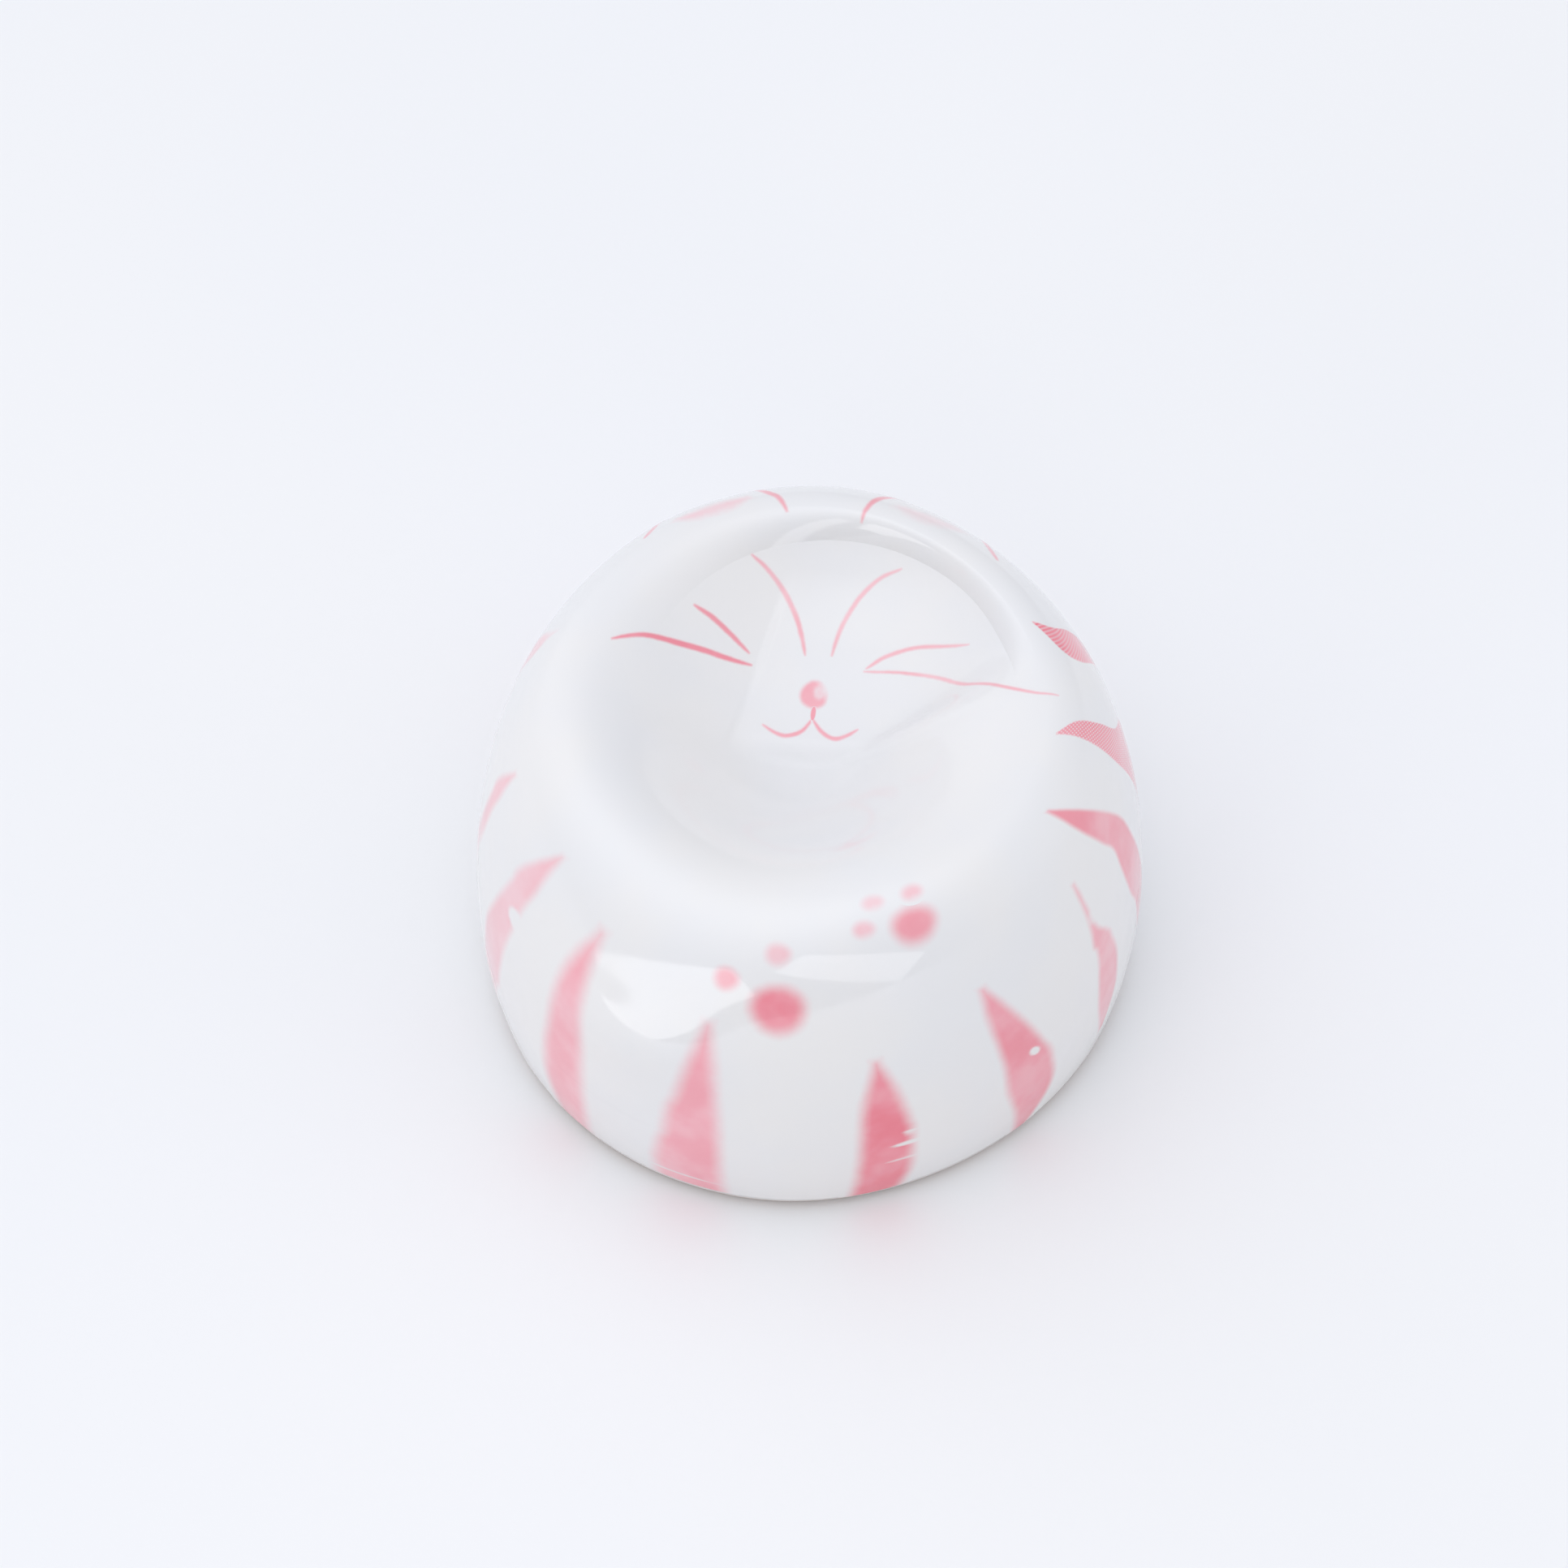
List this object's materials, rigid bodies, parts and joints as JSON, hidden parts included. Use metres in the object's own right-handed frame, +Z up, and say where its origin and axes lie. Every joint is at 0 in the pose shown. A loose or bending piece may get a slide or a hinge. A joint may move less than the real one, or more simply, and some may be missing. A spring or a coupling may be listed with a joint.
{
  "type": "cat figurine",
  "caption": "Small round porcelain figurine of a cat curled up asleep, with a dished top and a pink printed face, ears, paws and stripes.",
  "frame": {"origin": "on the table, under the middle of the bounding box", "axes": "+Z up, -Y towards the viewer whom the sleeping face looks at, +X to that viewer's right"},
  "size_m": [0.0384, 0.0409, 0.0214],
  "materials": {
    "body_glaze": "glossy clear glaze over white porcelain",
    "head_glaze": "glossy clear glaze over white porcelain",
    "stripe_print": "pink screen-printed transfer fired under a clear glaze",
    "line_print": "pink printed line fired under a clear glaze",
    "blush_print": "pale pink airbrushed blush fired under a clear glaze"
  },
  "bodies": {
    "root": {"body": "body_glaze", "head": "head_glaze", "nose": "line_print", "nose_line": "line_print", "mouth_left": "line_print", "mouth_right": "line_print", "eye_left": "line_print", "eye_right": "line_print", "whisker_left_upper": "line_print", "whisker_left_lower": "line_print", "whisker_right_upper": "line_print", "whisker_right_lower": "line_print", "ear_left_inner_edge": "line_print", "ear_left_outer_edge": "line_print", "ear_left_blush": "blush_print", "ear_right_inner_edge": "line_print", "ear_right_outer_edge": "line_print", "ear_right_blush": "blush_print", "paw_left_pad": "stripe_print", "paw_left_toe_1": "stripe_print", "paw_left_toe_2": "stripe_print", "paw_right_pad": "stripe_print", "paw_right_toe_1": "stripe_print", "paw_right_toe_2": "stripe_print", "paw_right_toe_3": "stripe_print", "stripe_front_left": "stripe_print", "stripe_front_right": "stripe_print", "stripe_left_1": "stripe_print", "stripe_left_2": "stripe_print", "stripe_left_3": "stripe_print", "stripe_left_4": "stripe_print", "stripe_right_1": "stripe_print", "stripe_right_2": "stripe_print", "stripe_right_3": "stripe_print", "stripe_right_4": "stripe_print", "stripe_right_5": "stripe_print", "stripe_rear_1": "stripe_print", "stripe_rear_2": "stripe_print", "stripe_rear_3": "stripe_print", "stripe_rear_4": "stripe_print", "stripe_rear_5": "stripe_print"}
  },
  "joints": []
}
